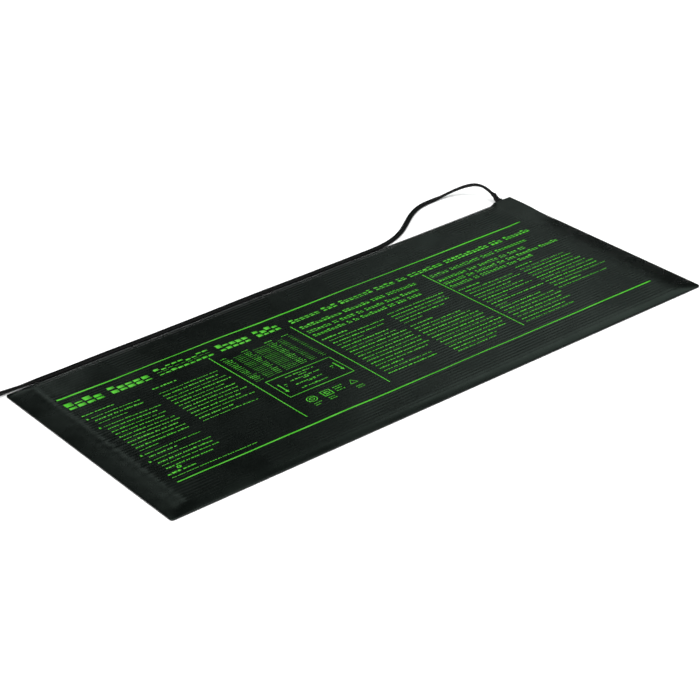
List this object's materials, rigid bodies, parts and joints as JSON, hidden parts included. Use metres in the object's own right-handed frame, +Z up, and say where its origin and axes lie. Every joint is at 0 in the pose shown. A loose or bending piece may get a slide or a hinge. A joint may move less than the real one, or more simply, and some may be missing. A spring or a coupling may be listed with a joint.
{
  "type": "seedling heat mat",
  "caption": "Thin rectangular electric heat mat for seedling trays, ribbed vinyl top with printed field, raised corner pocket, flat supply cord wound in a coil, and a two-pin plug.",
  "frame": {"origin": "under the middle of the mat, on the surface that it lies on", "axes": "+X along the long sides towards the end with the corner pocket, +Y to the long side that the cord leaves, +Z up out of the ribbed face"},
  "size_m": [0.6187, 0.3077, 0.0125],
  "materials": {
    "top_vinyl": "satin",
    "bottom_vinyl": "matte",
    "foam": "matte",
    "clear_film": "satin",
    "wire_insulation": "satin",
    "foil": "satin",
    "block_plastic": "matte",
    "splice_metal": "satin",
    "line_lead": "satin",
    "neutral_lead": "satin",
    "copper": "satin",
    "cord_jacket": "satin",
    "tie_black": "satin",
    "plug_moulding": "satin",
    "bridge_plastic": "matte",
    "blade_metal": "polished",
    "print_ink": "satin"
  },
  "bodies": {
    "root": {"bottom_cover": "bottom_vinyl", "insulation_pad": "foam", "carrier_film": "clear_film", "heating_wire": "wire_insulation", "heat_spreader_foil": "foil", "top_cover": "top_vinyl", "terminal_base": "block_plastic", "terminal_lid": "block_plastic", "line_splice": "splice_metal", "neutral_splice": "splice_metal", "line_cold_lead": "line_lead", "neutral_cold_lead": "neutral_lead", "line_conductor": "copper", "neutral_conductor": "copper", "strain_relief": "cord_jacket", "cord": "cord_jacket", "cord_coil": "cord_jacket", "coil_tie": "tie_black", "cord_tail": "cord_jacket", "plug_body": "plug_moulding", "plug_bridge": "bridge_plastic", "line_blade": "blade_metal", "neutral_blade": "blade_metal", "line_plug_crimp": "splice_metal", "neutral_plug_crimp": "splice_metal"}
  },
  "joints": []
}
